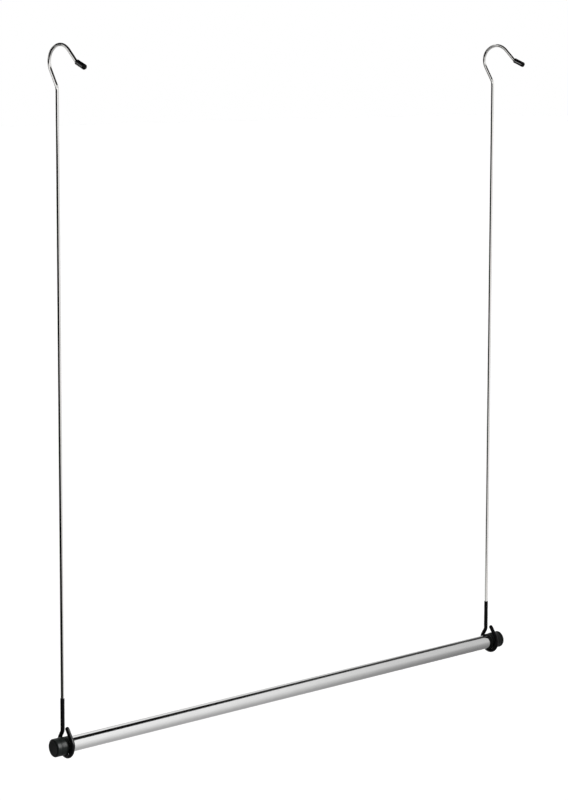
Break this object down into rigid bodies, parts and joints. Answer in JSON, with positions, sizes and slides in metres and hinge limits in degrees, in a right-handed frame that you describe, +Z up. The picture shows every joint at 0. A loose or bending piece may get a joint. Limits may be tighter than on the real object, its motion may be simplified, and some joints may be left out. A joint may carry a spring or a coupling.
{
  "type": "hanging closet rail",
  "caption": "Round rail hung at each end in the bottom loop of a wire hanger, each hanger hooking over a closet rod above, to give a second row for clothes.",
  "frame": {"origin": "on the axis of the closet rod that the hooks sit on, halfway between the two hangers", "axes": "+X along the rail, -Y the side the hooks open to, +Z up"},
  "size_m": [0.8, 0.0839, 0.9168],
  "materials": {
    "chrome_tube": "polished chrome plate with faint lengthwise draw lines",
    "chrome_wire": "polished chrome plate",
    "black_plastic": "satin moulded plastic with a fine grain",
    "black_vinyl": "satin vinyl"
  },
  "bodies": {
    "left_hanger": {"left_wire": "chrome_wire", "left_loop_sleeve": "black_vinyl", "left_tip_cap": "black_vinyl"},
    "rail": {"rail_tube": "chrome_tube", "left_end_plug": "black_plastic", "right_end_plug": "black_plastic"},
    "right_hanger": {"right_wire": "chrome_wire", "right_loop_sleeve": "black_vinyl", "right_tip_cap": "black_vinyl"}
  },
  "joints": [
    {"name": "rail_turn", "type": "hinge", "parent": "left_hanger", "child": "rail", "pos_m": [-0.38, 0, -0.879], "axis": [1, 0, 0], "continuous": true},
    {"name": "right_hanger_turn", "type": "hinge", "parent": "rail", "child": "right_hanger", "pos_m": [0.38, 0, -0.879], "axis": [1, 0, 0], "continuous": true}
  ],
  "couplings": [
    {"joint": "right_hanger_turn", "follows": "rail_turn", "ratio": -1}
  ]
}
